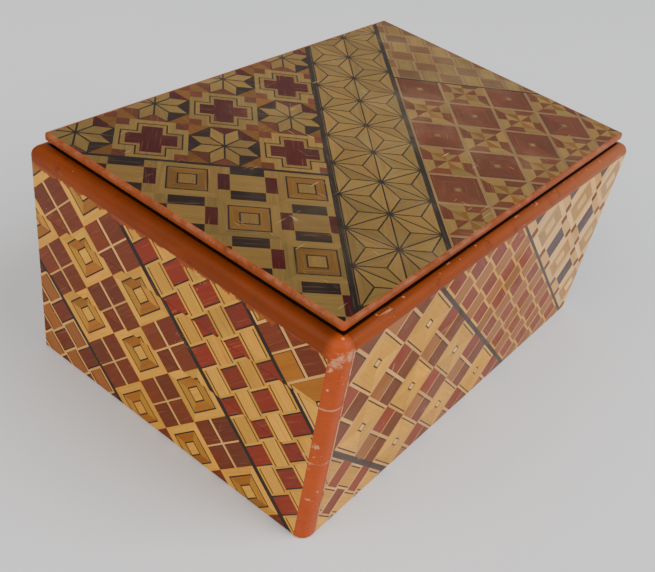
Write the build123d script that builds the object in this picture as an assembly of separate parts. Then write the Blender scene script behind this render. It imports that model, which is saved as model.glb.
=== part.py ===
from build123d import *
import os

# A marquetry puzzle box. Millimetres, +Z up, origin at the middle of the underside.
# X runs along the long sides, from the end with three sliding strips (-X) to the far end (+X).
# Y runs across, from the front long wall (-Y) to the back long wall (+Y).

# Outside
LENGTH = 152.0
WIDTH = 104.0
CASE_HEIGHT = 68.4
LID_TOP = 72.0
FRONT_CORNER_ROUND = 3.5
OTHER_CORNER_ROUND = 1.5
RIM_ROUND = 3.0
FOOT_ROUND = 0.6

# Boards
WALL = 6.0
STRIP = 5.0
FAR_END = 5.0
KEY_WALL = 8.0
KEY_WALL_TOP = 67.5
BASE = 4.0
BASE_LIFT = 1.0
VENEER = 0.4

# The rim round the lid: its width, and the step behind it that the lid's runners slide in
RIM = 3.8
SHADOW_STEP = 2.0

# Height of the bare wood left above each veneer, and its width round the lid's veneer
LONG_RIM_BAND = 3.2
END_RIM_BAND = 4.5
FAR_RIM_BAND = 3.6
LID_EDGE_BAND = 0.9

# Sliding strips: +1 slides towards the back wall, -1 towards the front wall
SAW_LINES = (29.65, 48.4)
STRIP_GAP = 0.1
STRIP_FOOT_GAP = 0.2
STRIP_TRAVEL = 10.0
STRIP_SIDE = {"lower": -1, "middle": 1, "upper": -1}

# Dovetail cleats that hold the strips to the key wall
CLEAT_HEIGHTS = {"lower": 15.0, "middle": 39.0, "upper": 61.5}
CLEAT_DEPTH = 3.2
CLEAT_NECK = 5.0
CLEAT_HEAD = 7.0
SLIDE_GAP = 0.15

# Lid
LID_INSET = 2.8
LID_SHADOW_GAP = 1.5
LID_CORNER_ROUND = 0.9
LID_TOP_ROUND = 0.6
LID_FOOT_ROUND = 0.4
LID_TRAVEL = 118.0
RUNNER_BOTTOM = 62.2
TONGUE_HEIGHT = 2.2
TONGUE_DEPTH = 1.4
RUNNER_END_STEP = 0.4

# Lock: an arm on the upper strip reaches through the key wall and ends beside the lid's key
ARM_HEIGHTS = (51.0, 55.0)
ARM_HALF_WIDTH = 8.0
ARM_TIP = -52.0
NOSE_LENGTH = 3.9
NOSE_TOP = 59.7
KEY_BOTTOM = 60.0
KEY_LENGTH = 6.0
KEY_HALF_WIDTH = 6.0

# Pegs and wooden nails
NAIL = 1.8
NAIL_LENGTH = 10.0
SMALL_NAIL = 1.4
SMALL_NAIL_LENGTH = 5.0
RUNNER_NAIL = 1.0
RUNNER_NAIL_LENGTH = 4.0
NAIL_GAP = 0.02
WALL_NAIL_HEIGHTS = (12.0, 34.0, 56.0)
STOP_PIN = 1.5
STOP_PIN_LENGTH = 3.6
STOP_PIN_X = 50.0
STOP_PIN_Z = 66.6
STRIP_PEG = 1.6
STRIP_PEG_LENGTH = 6.0
STRIP_PEG_OUT = 1.8

half_length = LENGTH / 2
half_width = WIDTH / 2
inner_half_width = half_width - WALL
strip_back = -half_length + STRIP
strip_front = -half_length + VENEER
far_inner = half_length - FAR_END
key_wall_inner = strip_back + KEY_WALL
lid_bottom = CASE_HEIGHT + LID_SHADOW_GAP
lid_half_length = half_length - LID_INSET
lid_half_width = half_width - LID_INSET
slot_bottom = RUNNER_BOTTOM - 0.2
runner_start = strip_back + 0.5
runner_end = half_length - RUNNER_END_STEP
runner_out = half_width - RIM - SLIDE_GAP
strip_spans = {
    "lower": (STRIP_FOOT_GAP, SAW_LINES[0] - STRIP_GAP / 2),
    "middle": (SAW_LINES[0] + STRIP_GAP / 2, SAW_LINES[1] - STRIP_GAP / 2),
    "upper": (SAW_LINES[1] + STRIP_GAP / 2, CASE_HEIGHT),
}


def block(x, y, z):
    """A box between the two ends given along each axis, in either order."""
    spans = [sorted(pair) for pair in (x, y, z)]
    corner = [span[0] for span in spans]
    size = [span[1] - span[0] for span in spans]
    return Pos(*corner) * Box(*size, align=(Align.MIN, Align.MIN, Align.MIN))


def across(side, near, far):
    """A span in Y on the front (-1) or back (+1) side, from distances off the middle."""
    return (side * near, side * far)


def pegs(places, axis, length, diameter):
    """Round pegs centred on these places, lying along X, Y or Z."""
    turn = {"x": Rot(0, 90, 0), "y": Rot(90, 0, 0), "z": Rot(0, 0, 0)}[axis]
    return [Pos(*place) * turn * Cylinder(diameter / 2, length) for place in places]


def peg_holes(places, axis, length, diameter):
    """Holes for those pegs, with a hair of room all round."""
    return pegs(places, axis, length + 2 * NAIL_GAP, diameter + 2 * NAIL_GAP)


def less(solid, tools):
    """The solid with every tool cut from it."""
    for tool in tools:
        solid = solid - tool
    return solid


def upright_edge(body, x, y):
    """The body's vertical edge at this corner."""
    corner = Vector(x, y, CASE_HEIGHT / 2)
    return [edge for edge in body.edges().filter_by(Axis.Z) if (edge.center() - corner).length < 0.01]


def case_outline():
    """The closed case as one rounded block, which trims every outside board."""
    body = block((-half_length, half_length), (-half_width, half_width), (0, CASE_HEIGHT))
    body = fillet(upright_edge(body, -half_length, -half_width), FRONT_CORNER_ROUND)
    for x, y in ((-half_length, half_width), (half_length, -half_width), (half_length, half_width)):
        body = fillet(upright_edge(body, x, y), OTHER_CORNER_ROUND)
    body = fillet(body.faces().sort_by(Axis.Z)[-1].edges(), RIM_ROUND)
    return fillet(body.faces().sort_by(Axis.Z)[0].edges(), FOOT_ROUND)


def veneer_zones():
    """The thin zone that each veneer fills, just inside the outline."""
    front_y = across(-1, half_width - VENEER, half_width)
    back_y = across(1, half_width - VENEER, half_width)
    long_x = (strip_back, half_length)
    long_z = (0, CASE_HEIGHT - LONG_RIM_BAND)
    far_y = (-half_width + VENEER, half_width - VENEER)
    return {
        "front": block(long_x, front_y, long_z),
        "back": block(long_x, back_y, long_z),
        "far": block((half_length - VENEER, half_length), far_y, (0, CASE_HEIGHT - FAR_RIM_BAND)),
    }


def runner_slots():
    """The step behind each long rim and the groove under it, cut through to the far end."""
    slots = []
    long_x = (strip_back - 1, half_length + 1)
    rim = half_width - RIM
    tongue_room = slot_bottom + TONGUE_HEIGHT + 0.4
    for side in (-1, 1):
        web_y = across(side, inner_half_width - 1, rim)
        slots.append(block(long_x, web_y, (slot_bottom, CASE_HEIGHT + 1)))
        tongue_y = across(side, rim - 0.5, rim + TONGUE_DEPTH + 0.2)
        slots.append(block(long_x, tongue_y, (slot_bottom, tongue_room)))
    return slots


def wall_nail_places(side):
    """Where the wooden nails pass through a long wall into the key wall, far end and base."""
    y = side * (inner_half_width - 1.0)
    uprights = (key_wall_inner - 2.4, far_inner + 2.3)
    places = [(x, y, z) for x in uprights for z in WALL_NAIL_HEIGHTS]
    return places + [(x, y, BASE_LIFT + BASE / 2) for x in (-42.0, 0.0, 42.0)]


def stop_pin_place(side):
    """The centre of the pin in a long rim that stops the lid."""
    return (STOP_PIN_X, side * (half_width - RIM + 1.0), STOP_PIN_Z)


def long_wall(side, outline, zones):
    """A long board with its rim, runner slot, nail holes and stop pin hole."""
    y = across(side, inner_half_width, half_width)
    board = block((strip_back, half_length), y, (0, CASE_HEIGHT))
    board = less(board & outline, list(zones.values()) + runner_slots())
    pin_hole = peg_holes([stop_pin_place(side)], "y", STOP_PIN_LENGTH, STOP_PIN)
    return less(board, wall_nail_holes() + pin_hole)


def dovetail(height, y, gap):
    """A dovetail bar along Y on the back of the strips, or its groove when given a gap."""
    depth = CLEAT_DEPTH + gap
    neck = CLEAT_NECK / 2 + gap
    head = CLEAT_HEAD / 2 + gap
    corners = [(0, -neck), (depth, -head), (depth, head), (0, neck)]
    profile = make_face(Polyline(*corners, close=True))
    plane = Plane(origin=(strip_back, min(y), height), x_dir=(1, 0, 0), z_dir=(0, -1, 0))
    return extrude(plane * profile, -abs(y[1] - y[0]))


def cleat_span(name):
    """A cleat's ends: one rests against a long wall, the other leaves room for the travel."""
    side = STRIP_SIDE[name]
    reach = inner_half_width - 0.2
    return (-side * reach, side * (reach - STRIP_TRAVEL))


def arm_slot():
    """The window in the key wall that the lock arm slides in."""
    y = (-ARM_HALF_WIDTH - STRIP_TRAVEL - 0.5, ARM_HALF_WIDTH + 0.5)
    return block((strip_back - 1, key_wall_inner + 1), y, (ARM_HEIGHTS[0] - 0.2, ARM_HEIGHTS[1] + 0.2))


def wall_nail_holes():
    """The holes for both long walls' nails."""
    places = wall_nail_places(-1) + wall_nail_places(1)
    return peg_holes(places, "y", NAIL_LENGTH, NAIL)


def key_wall():
    """The fixed wall behind the strips, with a dovetail groove for each and the arm's window."""
    wall_y = (-inner_half_width, inner_half_width)
    wall = block((strip_back, key_wall_inner), wall_y, (BASE_LIFT + BASE, KEY_WALL_TOP))
    grooves = [dovetail(height, wall_y, SLIDE_GAP) for height in CLEAT_HEIGHTS.values()]
    return less(wall, grooves + wall_nail_holes() + [arm_slot()])


def far_end_board(outline, zones):
    """The fixed far end, set between the long walls, with the same step under the lid's edge."""
    y = (-inner_half_width, inner_half_width)
    board = block((far_inner, half_length), y, (0, CASE_HEIGHT))
    step_x = (far_inner - 1, half_length - RIM)
    step = block(step_x, (-half_width, half_width), (CASE_HEIGHT - SHADOW_STEP, LID_TOP))
    return less(board & outline, [zones["far"], step] + wall_nail_holes())


def base_board():
    """The bottom board, between the long walls and the two ends."""
    y = (-inner_half_width, inner_half_width)
    board = block((strip_back, far_inner), y, (BASE_LIFT, BASE_LIFT + BASE))
    return less(board, wall_nail_holes())


def strip_peg_places():
    """The middle strip's two stop pegs, at its top and bottom edges."""
    x = (strip_front + strip_back) / 2
    low, high = strip_spans["middle"]
    inside = STRIP_PEG_LENGTH / 2 - STRIP_PEG_OUT
    return [(x, 0, high - inside), (x, 0, low + inside)]


def strip_peg_slot(edge):
    """The blind slot that a stop peg runs in, in the strip above or below the middle one."""
    x = (strip_front + strip_back) / 2
    half = STRIP_PEG / 2 + 0.2
    y = (-half, half + 2 * STRIP_TRAVEL)
    return block((x - half, x + half), y, (edge - STRIP_PEG_OUT - 0.4, edge + STRIP_PEG_OUT + 0.4))


def cleat_nail_places(name):
    """The small nails that hold a cleat to its strip."""
    x = strip_back - 0.6
    middle = sum(cleat_span(name)) / 2
    return [(x, middle + offset, CLEAT_HEIGHTS[name]) for offset in (-30.0, 0.0, 30.0)]


def strip_board(name, outline):
    """One sliding strip of the end, full width, rounded with the case."""
    low, high = strip_spans[name]
    board = block((-half_length, strip_back - STRIP_GAP), (-half_width, half_width), (low, high)) & outline
    tools = [strip_veneer_zone(name)]
    tools += peg_holes(cleat_nail_places(name), "x", SMALL_NAIL_LENGTH, SMALL_NAIL)
    if name == "middle":
        tools += peg_holes(strip_peg_places(), "z", STRIP_PEG_LENGTH, STRIP_PEG)
    if name == "lower":
        tools.append(strip_peg_slot(high))
    if name == "upper":
        tools.append(strip_peg_slot(low))
        step_y = (-half_width + RIM, half_width - RIM)
        tools.append(block((-half_length + RIM, 0), step_y, (CASE_HEIGHT - SHADOW_STEP, LID_TOP)))
    return less(board, tools)


def strip_veneer_zone(name):
    """The thin zone of one strip's veneer, stopping where the front corner is rounded."""
    low, high = strip_spans[name]
    y = (-half_width + FRONT_CORNER_ROUND, half_width)
    return block((-half_length, strip_front), y, (low, min(high, CASE_HEIGHT - END_RIM_BAND)))


def strip_cleat(name):
    """The dovetail bar glued and nailed to the back of a strip."""
    height = CLEAT_HEIGHTS[name]
    neck_z = (height - CLEAT_NECK / 2, height + CLEAT_NECK / 2)
    neck = block((strip_back - STRIP_GAP, strip_back), cleat_span(name), neck_z)
    bar = dovetail(height, cleat_span(name), 0) + neck
    return less(bar, peg_holes(cleat_nail_places(name), "x", SMALL_NAIL_LENGTH, SMALL_NAIL))


def lid_board():
    """The raised lid panel, with eased edges and a bed for its veneer."""
    x = (-lid_half_length, lid_half_length)
    y = (-lid_half_width, lid_half_width)
    panel = block(x, y, (lid_bottom, LID_TOP))
    panel = fillet(panel.edges().filter_by(Axis.Z), LID_CORNER_ROUND)
    panel = fillet(panel.faces().sort_by(Axis.Z)[-1].edges(), LID_TOP_ROUND)
    panel = fillet(panel.faces().sort_by(Axis.Z)[0].edges(), LID_FOOT_ROUND)
    return less(panel, [lid_veneer_block()] + runner_nail_holes())


def lid_veneer_block():
    """The lid's veneer sheet, a little inside the rounded edge."""
    x = lid_half_length - LID_EDGE_BAND
    y = lid_half_width - LID_EDGE_BAND
    return block((-x, x), (-y, y), (LID_TOP - VENEER, LID_TOP))


def runner_nail_places():
    """The upright nails that hold both runners to the lid."""
    z = lid_bottom - 0.6
    y = (runner_out + inner_half_width) / 2
    return [(x, side * y, z) for x in (-56.0, 0.0, 56.0) for side in (-1, 1)]


def runner_nail_holes():
    """Holes for the runner nails, in the runners and the lid."""
    return peg_holes(runner_nail_places(), "z", RUNNER_NAIL_LENGTH, RUNNER_NAIL)


def lid_runner(side, outline):
    """An L-shaped rail under the lid's long edge, which fills its slot out to the far end."""
    x = (runner_start, runner_end)
    web_y = across(side, inner_half_width + 0.05, runner_out)
    web = block(x, web_y, (RUNNER_BOTTOM, CASE_HEIGHT)) & (Pos(-RUNNER_END_STEP, 0, 0) * outline)
    web = web + block((runner_start, lid_half_length - LID_FOOT_ROUND), web_y, (RUNNER_BOTTOM, lid_bottom))
    tongue_top = RUNNER_BOTTOM + TONGUE_HEIGHT
    tongue_y = across(side, runner_out - 0.5, runner_out + TONGUE_DEPTH)
    tongue = block(x, tongue_y, (RUNNER_BOTTOM, tongue_top))
    pin_end = STOP_PIN_X - STOP_PIN / 2 - 0.25 - LID_TRAVEL
    groove_z = (STOP_PIN_Z - STOP_PIN / 2 - 0.15, STOP_PIN_Z + STOP_PIN / 2 + 0.15)
    groove = block((pin_end, half_length), across(side, runner_out - 0.9, runner_out + 0.1), groove_z)
    return less(web + tongue, [groove] + runner_nail_holes())


def group(solids):
    """Several separate solids kept as one sub-part."""
    return Compound(children=list(solids))


def make_parts():
    """Every sub-part by name."""
    outline = case_outline()
    zones = veneer_zones()
    far_skin = less(zones["far"] & outline, runner_slots())
    stop_pin_places = [stop_pin_place(-1), stop_pin_place(1)]
    parts = {
        "front_wall": long_wall(-1, outline, zones),
        "back_wall": long_wall(1, outline, zones),
        "front_veneer": zones["front"] & outline,
        "back_veneer": zones["back"] & outline,
        "far_end_board": far_end_board(outline, zones),
        "far_end_veneer": far_skin,
        "key_wall": key_wall(),
        "base_board": base_board(),
        "front_wall_nails": group(pegs(wall_nail_places(-1), "y", NAIL_LENGTH, NAIL)),
        "back_wall_nails": group(pegs(wall_nail_places(1), "y", NAIL_LENGTH, NAIL)),
        "lid_stop_pins": group(pegs(stop_pin_places, "y", STOP_PIN_LENGTH, STOP_PIN)),
        "lid_board": lid_board(),
        "lid_veneer": lid_veneer_block(),
        "front_runner": lid_runner(-1, outline),
        "back_runner": lid_runner(1, outline),
        "runner_nails": group(pegs(runner_nail_places(), "z", RUNNER_NAIL_LENGTH, RUNNER_NAIL)),
        "middle_strip_pegs": group(pegs(strip_peg_places(), "z", STRIP_PEG_LENGTH, STRIP_PEG)),
    }
    key_x = (ARM_TIP - NOSE_LENGTH - 0.6 - KEY_LENGTH, ARM_TIP - NOSE_LENGTH - 0.6)
    arm_y = (-ARM_HALF_WIDTH, ARM_HALF_WIDTH)
    parts["lid_key"] = block(key_x, (-KEY_HALF_WIDTH, KEY_HALF_WIDTH), (KEY_BOTTOM, lid_bottom))
    parts["lock_arm"] = block((strip_back - STRIP_GAP, ARM_TIP), arm_y, ARM_HEIGHTS)
    parts["lock_nose"] = block((ARM_TIP - NOSE_LENGTH, ARM_TIP), arm_y, (ARM_HEIGHTS[1], NOSE_TOP))
    for name in strip_spans:
        parts[name + "_strip"] = strip_board(name, outline)
        parts[name + "_strip_veneer"] = strip_veneer_zone(name) & outline
        parts[name + "_cleat"] = strip_cleat(name)
        cleat_nails = pegs(cleat_nail_places(name), "x", SMALL_NAIL_LENGTH, SMALL_NAIL)
        parts[name + "_cleat_nails"] = group(cleat_nails)
    return parts


os.makedirs("parts", exist_ok=True)
for part_name, solid in make_parts().items():
    export_step(solid, os.path.join("parts", part_name + ".step"))
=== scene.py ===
import math
import random

import bpy
from bpy.props import FloatProperty, FloatVectorProperty, IntProperty, PointerProperty
from bpy.types import Operator, Panel, PropertyGroup
from mathutils import Matrix, Vector
from mathutils.geometry import delaunay_2d_cdt


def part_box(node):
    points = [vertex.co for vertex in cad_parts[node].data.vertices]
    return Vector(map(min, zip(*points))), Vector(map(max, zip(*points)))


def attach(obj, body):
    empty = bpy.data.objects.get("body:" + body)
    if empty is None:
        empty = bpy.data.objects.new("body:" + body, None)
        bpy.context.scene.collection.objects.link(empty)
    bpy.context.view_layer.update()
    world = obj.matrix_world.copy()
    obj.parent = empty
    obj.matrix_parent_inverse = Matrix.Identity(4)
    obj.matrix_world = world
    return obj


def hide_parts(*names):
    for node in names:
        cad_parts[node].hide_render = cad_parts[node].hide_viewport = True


bl_info = {
    "name": "Marquetry Puzzle Box",
    "version": (1, 0, 0),
    "blender": (4, 5, 0),
    "location": "3D View > Sidebar > Puzzle Box",
    "description": "Marquetry sheets, wood finishes and stage for a puzzle box with sliding end strips",
    "category": "Object",
}

MM = 0.001
ROOT2 = math.sqrt(2)

# Directions of the grain in a lattice, in degrees
ALONG_U = 0.0
ALONG_V = 90.0

# Millimetres: past the end of every sheet, the side of a sorting square, the slack for a corner on an edge,
# the thickness of a sheet, and the depths of the rings of corners round its edge
FAR = 400.0
BIN = 5.0
SLACK = 1e-3
SHEET = 0.4
EDGE_DEPTHS = (0.05, 0.15, SHEET)

# Metres: the heights of the saw lines on the end, and the heights and half sizes of the painted shadow in the
# gap under the lid
SAW_LINES = (0.02965, 0.0484)
GAP_FOOT, GAP_TOP = 0.0662, 0.0703
GAP_HALF_LENGTH, GAP_HALF_WIDTH = 0.0724, 0.0489

# How far tiles of one wood differ: in lightness, in warmth, and in the turn of the grain, in degrees
LIGHT_SPREAD, WARM_SPREAD, TURN_SPREAD = 0.34, 0.05, 4

# Pattern points nearer than this are one point, in millimetres
JOIN = 1e-4

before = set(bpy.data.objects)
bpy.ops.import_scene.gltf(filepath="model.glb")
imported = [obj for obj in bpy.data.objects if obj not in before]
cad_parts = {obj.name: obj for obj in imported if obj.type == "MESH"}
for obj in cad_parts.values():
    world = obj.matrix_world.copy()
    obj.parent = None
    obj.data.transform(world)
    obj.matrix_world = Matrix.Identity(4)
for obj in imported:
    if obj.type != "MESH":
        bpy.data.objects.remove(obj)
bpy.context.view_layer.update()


def srgb(red, green, blue):
    """A colour given in 0-255 display values, as linear values."""

    def linear(value):
        value /= 255
        return value / 12.92 if value <= 0.04045 else ((value + 0.055) / 1.055) ** 2.4

    return tuple(linear(v) for v in (red, green, blue))


# The woods of the marquetry, in the order of their numbers on the tiles. An old wood is one of the lid's
WOODS = {
    "pale": (213, 149, 43),
    "straw": (120, 92, 43),
    "honey": (180, 123, 28),
    "orange": (153, 92, 12),
    "tan": (145, 84, 31),
    "brown": (107, 43, 8),
    "russet": (104, 39, 6),
    "red": (124, 35, 6),
    "brick": (88, 40, 18),
    "maroon": (63, 7, 5),
    "plum": (65, 44, 50),
    "ink": (34, 18, 10),
    "line": (30, 20, 12),
    "strip": (216, 157, 81),
    "cream": (233, 180, 106),
    "dun": (182, 131, 68),
    "old_tan": (112, 75, 24),
    "old_brown": (94, 62, 30),
    "old_orange": (104, 64, 16),
    "old_strip": (119, 88, 52),
    "old_line": (30, 22, 15),
    "slate": (40, 34, 34),
}
WOOD_NUMBER = {wood: number for number, wood in enumerate(WOODS)}


def length(name, description, millimetres):
    """A length property, shown in the scene's units."""
    return FloatProperty(
        name=name,
        description=description,
        default=millimetres * MM,
        min=0.0,
        subtype="DISTANCE",
        unit="LENGTH",
        precision=5,
    )


def colour(name, description, display):
    """A colour property."""
    return FloatVectorProperty(
        name=name,
        description=description,
        default=srgb(*display),
        size=3,
        min=0.0,
        max=1.0,
        subtype="COLOR",
    )


def power(name, watts):
    """The power of a lamp."""
    return FloatProperty(name=name, description=f"Power of the {name.lower()}", default=watts, unit="POWER")


class PuzzleBoxSizes(PropertyGroup):
    """Sizes of the marquetry sheets."""

    saw_cut: length("Saw cut", "Wood lost from the pattern at each saw line of the end", 1.3)
    fine_line: length("Fine line", "Width of the fine dark lines inside a motif", 0.42)
    lid_line: length("Lid line", "Width of the fine dark lines inside a motif of the lid", 0.4)
    leaf_line: length("Leaf line", "Width of the dark lines of the hemp leaf band", 0.42)
    corner_round: length("Corner round", "Radius of the upright corners that the sheets reach", 1.5)
    foot_round: length("Foot round", "Radius along the foot of the case", 0.6)
    seed: IntProperty(name="Seed", description="Seed for the differences between tiles", default=7, min=0)


class PuzzleBoxColours(PropertyGroup):
    """Colours of the woods, stain and stage."""

    __annotations__ = {
        **{
            wood: colour(wood.replace("_", " ").capitalize(), f"The {wood} wood of the marquetry", display)
            for wood, display in WOODS.items()
        },
        "stain": colour("Stain", "Orange stain on the bare rims and corners", (164, 74, 14)),
        "stain_dark": colour("Dark stain", "Stain where the grain is dense", (108, 42, 8)),
        # The stain darkened further as painted shade on the end face.
        "stain_end": colour("End stain", "Darker stain on the rim over the sliding strips", (110, 44, 4)),
        "stain_corner": colour("Corner stain", "Brighter stain on the worn front corner", (200, 82, 34)),
        # Also the colour of the painted highlight along the lid's top edge.
        "chip": colour("Chip", "Bare wood where the stain has chipped off", (222, 160, 122)),
        "softwood": colour("Softwood", "Planed wood inside the box", (206, 174, 126)),
        "bamboo": colour("Bamboo", "Nails and pegs", (204, 178, 116)),
        "floor": colour("Floor", "The surface under the box", (230, 229, 229)),
    }


class PuzzleBoxStage(PropertyGroup):
    """Camera and light."""

    lens: FloatProperty(name="Lens", description="Focal length", default=48.77, subtype="DISTANCE_CAMERA")
    key_power: power("Key light", 48)
    fill_power: power("Fill light", 14)
    sky: FloatProperty(name="Sky", description="Strength of the even light all round", default=0.5, min=0.0)


# Shader nodes


def add_node(tree, kind, settings=None, sockets=None):
    """Adds a node and returns its outputs. Settings are made before sockets are set or linked."""
    node = tree.nodes.new(kind)
    for key, value in (settings or {}).items():
        setattr(node, key, value)
    for key, value in (sockets or {}).items():
        if isinstance(value, bpy.types.NodeSocket):
            tree.links.new(value, node.inputs[key])
        else:
            node.inputs[key].default_value = value
    return node.outputs


class Wire:
    """A shader socket that can be used in sums."""

    def __init__(self, maker, socket):
        self.maker = maker
        self.socket = socket

    def _maths(self, operation, *values):
        return self.maker.node("ShaderNodeMath", {"operation": operation}, dict(enumerate(values)))[0]

    def __add__(self, other):
        return self._maths("ADD", self, other)

    def __sub__(self, other):
        return self._maths("SUBTRACT", self, other)

    def __rsub__(self, other):
        return self._maths("SUBTRACT", other, self)

    def __mul__(self, other):
        return self._maths("MULTIPLY", self, other)

    __radd__ = __add__
    __rmul__ = __mul__

    def __abs__(self):
        return self._maths("ABSOLUTE", self)

    def either(self, other):
        """The larger of two masks."""
        return self._maths("MAXIMUM", self, other)

    def ramp(self, low, high):
        """0 below low, 1 above high, smooth between. low may be the larger, to fall instead of rise."""
        sockets = {"Value": self, "From Min": low, "From Max": high}
        return self.maker.node("ShaderNodeMapRange", {"interpolation_type": "SMOOTHSTEP"}, sockets)[0]

    def near(self, value, outer, inner):
        """1 within inner of a value, and 0 beyond outer."""
        return abs(self - value).ramp(outer, inner)


class Finish:
    """One material and its nodes."""

    def __init__(self, name):
        self.material = bpy.data.materials.new(name)
        self.material.use_nodes = True
        self.tree = self.material.node_tree
        self.tree.nodes.clear()
        self.place = self.node("ShaderNodeTexCoord")[3]

    def node(self, kind, settings=None, sockets=None):
        """Adds a node, with wires or values for its sockets, and returns its outputs as wires."""
        values = {key: getattr(value, "socket", value) for key, value in (sockets or {}).items()}
        return [Wire(self, output) for output in add_node(self.tree, kind, settings, values)]

    def axes(self):
        """The object's own coordinates, in metres."""
        return self.node("ShaderNodeSeparateXYZ", None, {0: self.place})

    def noise(self, scale, detail=3.0, roughness=0.55, distortion=0.0, at=None):
        """Noise between 0 and 1. scale is one number, or one for each axis."""
        scales = scale if isinstance(scale, tuple) else (scale,) * 3
        sockets = {0: at or self.place, 1: scales}
        sockets = {
            "Vector": self.node("ShaderNodeVectorMath", {"operation": "MULTIPLY"}, sockets)[0],
            "Scale": 1.0,
            "Detail": detail,
            "Roughness": roughness,
            "Distortion": distortion,
        }
        return self.node("ShaderNodeTexNoise", None, sockets)[0]

    def mix(self, factor, first, second):
        """Colour first where factor is 0, and second where it is 1."""
        first, second = (c if isinstance(c, Wire) else (*c, 1.0) for c in (first, second))
        return self.node("ShaderNodeMix", {"data_type": "RGBA"}, {0: factor, 6: first, 7: second})[2]

    def shade(self, tint, factor):
        """The colour made lighter or darker by a factor."""
        return self.node("ShaderNodeVectorMath", {"operation": "SCALE"}, {0: tint, 3: factor})[0]

    def finish(self, base, roughness, coat, height, lift, shine=0.25):
        """Joins the shader to the output. lift is the bump's height in metres."""
        sockets = {
            "Base Color": base,
            "Roughness": roughness,
            "Coat Weight": coat,
            "Coat Roughness": 0.3,
            "Specular IOR Level": shine,
            "Normal": self.node("ShaderNodeBump", None, {"Distance": lift, "Height": height})[0],
        }
        shader = self.node("ShaderNodeBsdfPrincipled", None, sockets)[0]
        self.node("ShaderNodeOutputMaterial", None, {0: shader})
        return self.material


def across(run, fine, coarse):
    """A noise's scale on each axis: fine across the grain, and coarse along it."""
    return tuple(fine if crossing else coarse for crossing in run)


def scratches(finish, scale):
    """Short straight pale lines: the peaks of a long thin noise, kept only in scattered spots."""
    return finish.noise(scale, 0.0).ramp(0.74, 0.80) * finish.noise(90, 2.0).ramp(0.60, 0.66)


def marquetry_finish(name, colours):
    """Tiles of many woods under worn lacquer. The lid is darker than the sides, and a painted sheen lightens
    it and hazes it pale towards the far end.
    """
    f = Finish(name)
    tile = f.node("ShaderNodeAttribute", {"attribute_name": "tone"})[0]
    grain = f.node("ShaderNodeUVMap", {"uv_map": "grain"})[0]
    x, y, z = f.axes()
    fibres = f.noise((170, 3400, 0), 3.0, 0.6, 0.3, at=grain)
    rings = f.noise((16, 520, 0), 2.0, 0.5, 0.6, at=grain)
    pores = f.noise((420, 7000, 0), 1.0, at=grain).ramp(0.60, 0.72)
    streaks = f.noise((45, 1150, 0), 2.0, 0.6, 0.4, at=grain)
    on_lid = z.ramp(0.070, 0.0705)
    # Painted sheen: this ramp lightens the lid's woods and hazes them pale from the near end towards the far
    # end.
    lid_sheen = on_lid * x.ramp(-0.070, -0.004)
    light = (0.42 + fibres * 0.36 + streaks * 0.50 + rings * 0.30) * (0.95 - on_lid * 0.11 + lid_sheen * 0.32)
    wood = f.shade(tile, light)
    wood = f.mix(pores * 0.22, wood, srgb(70, 44, 26))
    flecks = f.noise((70, 2900, 0), 2.0, 0.6, 0.3, at=grain).ramp(0.60, 0.72)
    wood = f.mix(flecks * 0.16, wood, srgb(214, 158, 104))
    haze = f.noise(34, 4.0, 0.65).ramp(0.46, 0.70)
    # The haze noise is bloom in the lacquer; on the lid it grows towards the far end as painted sheen, so
    # worn carries painted sheen as well as wear.
    worn = f.mix(haze * (0.03 + lid_sheen * 0.11) + lid_sheen * 0.02, wood, srgb(184, 166, 136))
    grime = f.noise(60, 3.0).ramp(0.56, 0.74)
    worn = f.mix(grime * 0.14, worn, srgb(92, 62, 38))
    marks = scratches(f, (2400, 90, 140)).either(scratches(f, (60, 2400, 2400)))
    worn = f.mix(marks * 0.55, worn, srgb(214, 180, 140))
    edge = f.noise((260, 260, 120), 4.0, 0.7)
    sanded_end = (z + edge * 0.0075).ramp(0.0668, 0.0672) * x.ramp(-0.0754, -0.0756) * (1 - on_lid)
    worn = f.mix(sanded_end, worn, f.shade(colours.stain, 0.32 + edge * 0.6))
    # Painted tint: the front face is warmed to offset the cool key light's reflection on it.
    front = y.ramp(-0.0512, -0.0516) * (1 - on_lid)
    worn = f.mix(front * 0.07, worn, srgb(150, 96, 10))
    roughness = 0.36 + haze * 0.22 + fibres * 0.10 + marks * 0.2
    return f.finish(worn, roughness, 0.07 - haze * 0.05, fibres, 0.00004, 0.15)


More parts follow.
